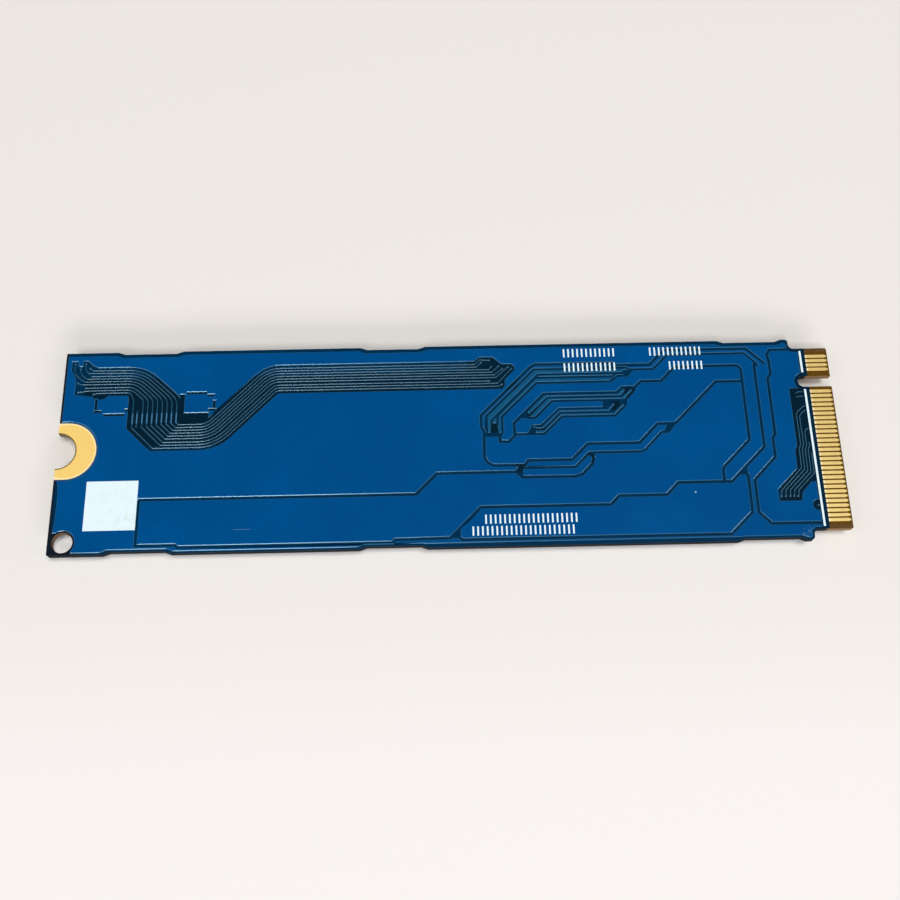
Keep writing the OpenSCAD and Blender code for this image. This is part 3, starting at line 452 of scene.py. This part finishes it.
def legendInk():
    s = Shader("legendInk", specular_ior_level=0.3)
    smudge = s.step(s.noise(1.6, 4.0), 0.5, 0.7) * s.step(s.noise(0.4, 3.0), 0.35, 0.7)
    touched = s.near(ink["touch"], ink["touchSize"]) * s.step(s.noise(0.7, 3.0), 0.42, 0.6)
    tint = s.mix(smudge * 0.3, ink["plain"], ink["smudged"])
    tint = s.mix(touched * 0.35, tint, ink["touched"])
    s.set(base_color=tint, roughness=0.55 + s.noise(0.2, 2.0) * 0.15)
    s.bump(s.noise(0.08, 2.0) + s.noise(0.5, 1.0), 0.002)
    return s.material


def moulding():
    s = Shader("moulding", specular_ior_level=0.4)
    grit = s.noise(0.06, 2.0)
    haze = s.noise(3.0, 3.0)
    s.set(base_color=s.mix(grit * 0.5 + haze * 0.5, srgb(22, 22, 24), srgb(46, 46, 49)),
          roughness=0.5 + haze * 0.2)
    s.bump(grit, 0.008)
    return s.material


def substrate():
    s = Shader("substrate", specular_ior_level=0.4)
    plies = s.noise(0.3, 3.0, s.stretched(1.0, 1.0, 0.06))
    s.set(base_color=s.mix(plies, srgb(34, 74, 44), srgb(112, 104, 62)),
          roughness=0.4 + plies * 0.25)
    s.bump(plies, 0.004)
    return s.material


def metal(name, light, dark, grainSize, roughness, depth):
    s = Shader(name, metallic=1.0)
    grain = s.noise(grainSize, 3.0)
    stain = s.noise(grainSize * 6, 2.0)
    s.set(base_color=s.mix(s.step(grain * 0.6 + stain * 0.4, 0.35, 0.65), light, dark),
          roughness=roughness + grain * 0.15)
    s.bump(grain, depth)
    return s.material


def ceramic(name, light, dark, grainSize, roughness):
    s = Shader(name, specular_ior_level=0.4)
    grain = s.noise(grainSize, 4.0)
    s.set(base_color=s.mix(grain, light, dark), roughness=roughness + grain * 0.15)
    s.bump(grain, 0.004)
    return s.material


underCopper = {
    "area": (9.0, 6.5),
    "gap": (0.016, 0.03),
    "margin": (0.06, 0.065),
    "core": (0.3, 0.305),
    "lineScale": 0.42,
    "lineAngle": 45,
    "lineZones": [(30.0, 42.5), (54.5, 60.5), (69.5, 75.5)],
    "relief": 0.02,
}


def componentMask():       # the copper under it shows as a faint relief of areas and tracks
    s = Shader("componentMask", specular_ior_level=0.4)
    clouds = s.noise(6.0, 3.0)
    first, second = (s.node("ShaderNodeTexVoronoi", {
        "voronoi_dimensions": "2D", "distance": "CHEBYCHEV", "feature": feature},
        {"Vector": s.stretched(*underCopper["area"]), "Scale": 1.0}) for feature in ("F1", "F2"))
    away = second - first
    border = 1.0 - s.step(away, *underCopper["gap"])
    inside = s.step(away, *underCopper["margin"]) * (1.0 - s.step(away, *underCopper["core"]))
    turned = s.node("ShaderNodeMapping", {}, {
        "Vector": s.place, "Rotation": (0, 0, math.radians(underCopper["lineAngle"]))})
    lines = s.node("ShaderNodeTexWave", {"bands_direction": "X", "wave_profile": "TRI"}, {
        "Vector": turned, "Scale": underCopper["lineScale"], "Distortion": 0.0})
    chosen = s.within(s.x, underCopper["lineZones"][0], 0.02)
    for span in underCopper["lineZones"][1:]:
        chosen = chosen.most(s.within(s.x, span, 0.02))
    gap = border.most(inside * chosen * s.step(lines, 0.7, 0.8))
    tint = s.mix(s.step(clouds, 0.4, 0.68), maskTint["copper"], maskTint["copperPale"])
    s.set(base_color=s.mix(gap * 0.8, tint, maskTint["film"]), roughness=0.26 + clouds * 0.1)
    s.bump(1.0 - gap, underCopper["relief"])
    return s.material


finishes = {
    "laminate": cutLaminate(),
    "mask_film": maskOnLaminate(),
    "masked_copper": maskOverCopper("maskOverCopper", maskTint["copper"], maskTint["copperPale"]),
    "slope": maskOnSlope(),
    "trace": maskOverCopper("maskOverTrace", maskTint["trace"], maskTint["tracePale"]),
    "masked_lines": maskOverLines("maskOverLines", 0.1),
    "lineSlope": maskOverLines("maskOnLineSlope", 1.0),
    "component_mask": componentMask(),
    "gold": gold(),
    "hole_plating": goldWall(),
    "legend_ink": legendInk(),
    "package_moulding": moulding(),
    "package_substrate": substrate(),
    "solder": metal("solder", srgb(206, 208, 212), srgb(150, 152, 158), 0.08, 0.3, 0.004),
    "tin": metal("tin", srgb(216, 216, 218), srgb(168, 168, 174), 0.06, 0.34, 0.003),
    "capacitor_ceramic": ceramic(
        "capacitorCeramic", srgb(172, 142, 108), srgb(136, 108, 80), 0.08, 0.45),
    "resistor_glaze": ceramic("resistorGlaze", srgb(18, 18, 20), srgb(34, 34, 38), 0.1, 0.22),
    "fuse_ceramic": ceramic("fuseCeramic", srgb(226, 222, 206), srgb(198, 192, 172), 0.1, 0.4),
    "inductor_core": ceramic("inductorCore", srgb(78, 78, 82), srgb(50, 50, 54), 0.07, 0.5),
    "crystal_ceramic": ceramic("crystalCeramic", srgb(46, 42, 44), srgb(70, 64, 62), 0.1, 0.5),
    "crystal_metal": metal(
        "crystalMetal", srgb(222, 218, 206), srgb(184, 178, 164), 0.3, 0.28, 0.002),
}
slotOf = {p["node"]: p["material_slot"] for p in frame["record"]["subparts"]}
for name, node in nodes.items():
    if not node.material_slots:
        node.data.materials.append(None)
    for slot in node.material_slots:
        slot.material = finishes[slotOf[name]]
print("finishes made:", len(finishes))


# Modelling helpers

join = {
    "gap": 0.0005,       # millimetres between points that become one
    "flat": 0.5,         # degrees between faces that become one
}


def pick(piece):
    bpy.ops.object.select_all(action="DESELECT")
    piece.select_set(True)
    bpy.context.view_layer.objects.active = piece


def edit(piece, *steps):
    pick(piece)
    bpy.ops.object.mode_set(mode="EDIT")
    bpy.ops.mesh.select_all(action="SELECT")
    for operator, settings in steps:
        operator(**settings)
    bpy.ops.object.mode_set(mode="OBJECT")


def editFaces(piece, wanted, *steps):      # wanted(face) says which faces the steps work on
    pick(piece)
    bpy.ops.object.mode_set(mode="EDIT")
    bpy.ops.mesh.select_mode(type="FACE")
    bpy.ops.mesh.select_all(action="DESELECT")
    bpy.ops.object.mode_set(mode="OBJECT")
    for face in piece.data.polygons:
        face.select = wanted(face)
    bpy.ops.object.mode_set(mode="EDIT")
    for operator, settings in steps:
        operator(**settings)
    bpy.ops.object.mode_set(mode="OBJECT")


def modify(piece, kind, **settings):
    pick(piece)
    modifier = piece.modifiers.new(kind.lower(), kind)
    for key, value in settings.items():
        setattr(modifier, key, value)
    bpy.ops.object.modifier_apply(modifier=modifier.name)


def copyOf(nodeName, pieceName, flatten=True):      # a node's mesh as one closed skin
    piece = bpy.data.objects.new(pieceName, nodes[nodeName].data.copy())
    bpy.context.scene.collection.objects.link(piece)
    pick(piece)
    bpy.ops.mesh.customdata_custom_splitnormals_clear()
    edit(piece, (bpy.ops.mesh.remove_doubles, {"threshold": join["gap"] * mm}))
    if flatten:
        edit(piece, (bpy.ops.mesh.dissolve_limited, {"angle_limit": math.radians(join["flat"])}))
    return piece


def dress(piece, *slots):
    piece.data.materials.clear()
    for slot in slots:
        piece.data.materials.append(finishes[slot])


def standsFor(piece, slot, *nodeNames):
    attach(piece, "root")
    if nodeNames:
        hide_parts(*nodeNames)


def softened(nodeName, pieceName, radius, segments=2):      # every sharp edge gets a radius
    piece = copyOf(nodeName, pieceName)
    slot = slotOf[nodeName]
    dress(piece, slot)
    modify(piece, "BEVEL", width=radius * mm, segments=segments, limit_method="ANGLE",
           angle_limit=math.radians(40), use_clamp_overlap=True, harden_normals=True)
    standsFor(piece, slot, nodeName)
    return piece


def sloped(nodeName, pieceName, drop, run):      # the top's rim comes down and its sides lean
    piece = copyOf(nodeName, pieceName, flatten=False)
    slot = slotOf[nodeName]
    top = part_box(nodeName)[1][2]
    dress(piece, slot, "slope" if slot == "masked_copper" else "lineSlope")
    level = 0.995        # a normal's z on a face that is level
    editFaces(piece, lambda face: face.normal.z > level and face.center.z > top - 0.01 * mm,
              (bpy.ops.transform.translate, {"value": (0, 0, -drop * mm)}),
              (bpy.ops.mesh.inset, {"thickness": run * mm, "depth": drop * mm}))
    for face in piece.data.polygons:
        face.material_index = 0 if face.normal.z > level else 1
        face.use_smooth = False
    standsFor(piece, slot, nodeName)
    return piece


def looseGroups(piece):          # which separate solid each point of a mesh belongs to
    parent = list(range(len(piece.data.vertices)))

    def root(i):
        while parent[i] != i:
            parent[i] = parent[parent[i]]
            i = parent[i]
        return i

    for edge in piece.data.edges:
        parent[root(edge.vertices[0])] = root(edge.vertices[1])
    return [root(i) for i in range(len(parent))]


def looseBoxes(nodeName):        # lowest and highest corner of each separate solid of a node
    piece = copyOf(nodeName, "measured", flatten=False)
    groups = {}
    for vertex, group in zip(piece.data.vertices, looseGroups(piece)):
        groups.setdefault(group, []).append(vertex.co.copy())
    bpy.data.objects.remove(piece, do_unlink=True)
    return [tuple(Vector(end(p[i] for p in points) for i in range(3)) for end in (min, max))
            for points in groups.values()]


def repeated(model, pieceName, slot, places):      # places: (location, turn, scale) of each copy
    copies = []
    for location, turn, scale in places:
        made = bpy.data.objects.new(pieceName, model.data.copy())
        bpy.context.scene.collection.objects.link(made)
        made.location = location
        made.rotation_euler = (0, 0, turn)
        made.scale = scale
        copies.append(made)
    bpy.ops.object.select_all(action="DESELECT")
    for made in copies:
        made.select_set(True)
    bpy.context.view_layer.objects.active = copies[0]
    bpy.ops.object.join()
    piece = bpy.context.object
    piece.name = pieceName
    pick(piece)
    bpy.ops.object.transform_apply(location=True, rotation=True, scale=True)
    dress(piece, slot)
    return piece


# Bare side: the mask slopes down over each edge of the copper under it

relief = {"drop": 0.04, "run": 0.074, "lineDrop": 0.046, "lineRun": 0.084, "slim": 0.4}

areas = sloped("bare_side_copper", "maskedCopperAreas", relief["drop"], relief["run"])
sloped("bus_lines", "memoryBus", relief["lineDrop"], relief["lineRun"])
sloped("fan_out_lines", "contactFanOut", relief["lineDrop"], relief["lineRun"])

# slim strips of copper are paler under the mask
areas.data.materials.append(finishes["trace"])
groups = looseGroups(areas)
tops = {}
for face in areas.data.polygons:
    if face.material_index == 0:
        tops.setdefault(groups[face.vertices[0]], []).append(face)
for faces in tops.values():
    corners = [areas.data.vertices[i].co for f in faces for i in f.vertices]
    reach = math.hypot(max(c.x for c in corners) - min(c.x for c in corners),
                       max(c.y for c in corners) - min(c.y for c in corners))
    if sum(f.area for f in faces) / reach < relief["slim"] * mm:
        for face in faces:
            face.material_index = 2
print("bare side relief made")


# Gold and ink: plated edges are round, printed ones softer still

plating = {"contact": 0.018, "land": 0.015, "ink": 0.006}

softened("even_contacts", "upperContacts", plating["contact"])
softened("odd_contacts", "lowerContacts", plating["contact"])
softened("screw_land_upper", "upperScrewLand", plating["land"])
softened("screw_land_lower", "lowerScrewLand", plating["land"])
softened("marking_square", "inkSquare", plating["ink"])
softened("contact_border", "inkBorder", plating["ink"])
softened("tally_marks", "inkTallies", plating["ink"])
print("plating and ink made")


# Component side: moulded, fired and plated bodies with their own edge radius

package = {"moulding": 0.08, "substrate": 0.02}

chips = {"flash_1": "flash1", "flash_2": "flash2", "controller": "controller"}
for nodeStart, pieceStart in chips.items():
    softened(nodeStart + "_moulding", pieceStart + "Moulding", package["moulding"], 3)
    softened(nodeStart + "_substrate", pieceStart + "Substrate", package["substrate"])

smallParts = {
    "power_circuit_body": ("powerCircuitBody", 0.03),
    "power_circuit_leads": ("powerCircuitLeads", 0.02),
    "load_switch_body": ("loadSwitchBody", 0.04),
    "load_switch_leads": ("loadSwitchLeads", 0.015),
    "boot_memory_body": ("bootMemoryBody", 0.04),
    "boot_memory_leads": ("bootMemoryLeads", 0.015),
    "inductor_cores": ("inductorCores", 0.15),
    "inductor_terminals": ("inductorTerminals", 0.03),
    "crystal_base": ("crystalBase", 0.03),
    "crystal_lid": ("crystalLid", 0.04),
    "crystal_pads": ("crystalPads", 0.015),
    "fuse_body": ("fuseBody", 0.03),
    "fuse_ends": ("fuseEnds", 0.05),
    "bulk_capacitor_bodies": ("bulkCapacitorBodies", 0.02),
    "bulk_capacitor_ends": ("bulkCapacitorEnds", 0.05),
    "small_capacitor_bodies": ("smallCapacitorBodies", 0.015),
    "small_capacitor_ends": ("smallCapacitorEnds", 0.04),
    "coupling_capacitor_bodies": ("couplingCapacitorBodies", 0.01),
    "coupling_capacitor_ends": ("couplingCapacitorEnds", 0.02),
    "resistor_bodies": ("resistorBodies", 0.015),
    "resistor_ends": ("resistorEnds", 0.03),
    "component_lands": ("componentLands", 0.008),
}
for nodeName, (pieceName, radius) in smallParts.items():
    softened(nodeName, pieceName, radius)
print("component bodies made:", len(smallParts))


# Solder balls: a drum that swells between the package and the card

ball = {"neck": 0.72, "sides": 12, "edge": 0.16}      # shares of the waist and of the height

for nodeStart, pieceStart in chips.items():
    boxes = looseBoxes(nodeStart + "_balls")
    low, high = boxes[0]
    radius = (high.x - low.x) / 2
    height = high.z - low.z
    bpy.ops.object.select_all(action="DESELECT")
    bpy.ops.mesh.primitive_cylinder_add(vertices=ball["sides"], radius=radius, depth=height)
    drum = bpy.context.object
    edit(drum, (bpy.ops.mesh.bisect, {"plane_co": (0, 0, 0), "plane_no": (0, 0, 1)}))
    editFaces(drum, lambda face: abs(face.normal.z) > 0.9,
              (bpy.ops.transform.resize, {"value": (ball["neck"], ball["neck"], 1)}))
    modify(drum, "BEVEL", width=height * ball["edge"], segments=1, limit_method="ANGLE",
           angle_limit=math.radians(35))
    pick(drum)
    bpy.ops.object.shade_smooth_by_angle(angle=math.radians(60))
    balls = repeated(drum, pieceStart + "Balls", "solder",
                     [((a + b) / 2, 0, (1, 1, 1)) for a, b in boxes])
    standsFor(balls, "solder", nodeStart + "_balls")
    bpy.data.objects.remove(drum, do_unlink=True)
print("solder balls made")


# Solder fillets: a hollow-faced wedge at the outer side of each chip end

fillet = {
    "toe": 0.17,
    "rise": 0.6,         # share of the chip's height
    "width": 0.94,
    "reach": 0.98,       # share of the way to the end's outer face
    "cut": 0.96,
    "steps": 5,
    "hollow": 0.12,
}

bpy.ops.object.select_all(action="DESELECT")
bpy.ops.mesh.primitive_cube_add(size=1, location=(0.5, 0, -0.5))
wedge = bpy.context.object
pick(wedge)
bpy.ops.object.transform_apply(location=True)
bpy.ops.object.mode_set(mode="EDIT")
bpy.ops.mesh.select_mode(type="EDGE")
bpy.ops.mesh.select_all(action="DESELECT")
bpy.ops.object.mode_set(mode="OBJECT")
for edge in wedge.data.edges:
    a, b = (wedge.data.vertices[i].co for i in edge.vertices)
    edge.select = min(a.x, b.x) > 0.9 and max(a.z, b.z) < -0.9
bpy.ops.object.mode_set(mode="EDIT")
bpy.ops.mesh.bevel(offset=fillet["cut"], segments=fillet["steps"], profile=fillet["hollow"],
                   affect="EDGES")
bpy.ops.object.mode_set(mode="OBJECT")

for chip in ("bulk_capacitor", "small_capacitor", "coupling_capacitor", "resistor", "fuse"):
    bodyName = chip + ("_body" if chip == "fuse" else "_bodies")
    middles = [(a + b) / 2 for a, b in looseBoxes(bodyName)]
    places = []
    for low, high in looseBoxes(chip + "_ends"):
        centre = (low + high) / 2
        body = min(middles, key=lambda m: (m - centre).length)
        out = centre - body
        along = abs(out.x) > abs(out.y)
        turn = math.atan2(0 if along else out.y, out.x if along else 0)
        reach = (high.x - low.x if along else high.y - low.y) / 2
        width = high.y - low.y if along else high.x - low.x
        way = Vector((math.cos(turn), math.sin(turn), 0))
        foot = Vector((centre.x, centre.y, high.z)) + way * reach * fillet["reach"]
        rise = (high.z - low.z) * fillet["rise"]
        places.append((foot, turn, (fillet["toe"] * mm, width * fillet["width"], rise)))
    pieceName = chip.replace("_c", "C") + "Fillets"
    standsFor(repeated(wedge, pieceName, "solder", places), "solder")
bpy.data.objects.remove(wedge, do_unlink=True)
print("solder fillets made")


# Floor and light

stage = {
    "floor": 3.0,
    "paper": srgb(234, 229, 223),
    # the floor's front is painted lighter: painted light falling off towards the back
    "paperLitFront": srgb(241, 236, 233),
    "litFrontSpan": (-24.0, -1.0),
    "world": (0.045, 0.046, 0.048),
}
lights = {       # azimuth, elevation, distance, size and power
    "key": (60, 78, 1.8, (0.6, 0.5), 17.5),
    "strip": (-19, 52, 1.8, (0.52, 0.38), 9.0),
    "rightGlint": (71.5, 31.5, 1.8, (0.2, 0.22), 1.6),
    "leftFill": (-75, 40, 2.2, (1.2, 1.2), 6),
    "lowFront": (14, 24, 2.0, (1.4, 0.5), 19),
}

bpy.ops.object.select_all(action="DESELECT")
bpy.ops.mesh.primitive_plane_add(size=stage["floor"])
floor = bpy.context.object
floor.name = "floor"
paper = Shader("paper", specular_ior_level=0.2, roughness=0.7)
# painted light: the floor turns lighter towards the front, nearer the camera
litFront = 1.0 - paper.step(paper.y, *stage["litFrontSpan"])
paper.set(base_color=paper.mix(litFront, stage["paper"], stage["paperLitFront"]))
floor.data.materials.append(paper.material)

world = bpy.data.worlds.new("studio")
world.use_nodes = True
world.node_tree.nodes["Background"].inputs["Color"].default_value = (*stage["world"], 1)
bpy.context.scene.world = world


def softbox(name, azimuth, elevation, distance, size, power):
    # azimuth from straight in front, towards the right
    a = math.radians(azimuth)
    e = math.radians(elevation)
    place = Vector((math.sin(a) * math.cos(e), -math.cos(a) * math.cos(e), math.sin(e))) * distance
    bpy.ops.object.light_add(type="AREA", location=place)
    light = bpy.context.object
    light.name = name
    light.rotation_euler = (-place).to_track_quat("-Z", "Y").to_euler()
    light.data.shape = "RECTANGLE"
    light.data.size = size[0]
    light.data.size_y = size[1]
    light.data.energy = power


for name, values in lights.items():
    softbox(name, *values)
print("studio made")
